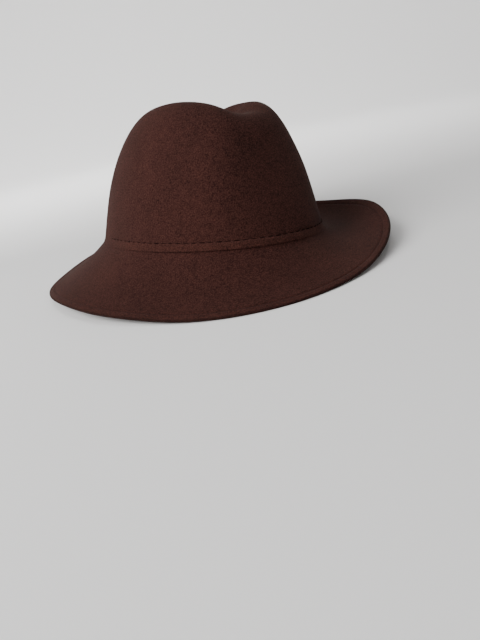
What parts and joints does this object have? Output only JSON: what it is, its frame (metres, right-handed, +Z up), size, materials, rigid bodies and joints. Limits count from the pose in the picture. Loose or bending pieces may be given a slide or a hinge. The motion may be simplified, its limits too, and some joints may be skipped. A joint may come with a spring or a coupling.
{
  "type": "trilby",
  "caption": "Soft wool-felt trilby: crown with a lengthwise dent, a narrow stitched self-felt band, and a brim dipped at the right and rolled up at the left",
  "frame": {"origin": "on the surface that the hat rests on, under the middle of the box around it", "axes": "+Z up, -Y towards the front of the hat, +X towards the wearer's left"},
  "size_m": [0.2744, 0.3074, 0.1252],
  "materials": {
    "felt": "wool felt with a short nap, matte",
    "band_felt": "wool felt with a short nap, matte"
  },
  "bodies": {
    "root": {"felt_body": "felt", "band": "band_felt"}
  },
  "joints": []
}
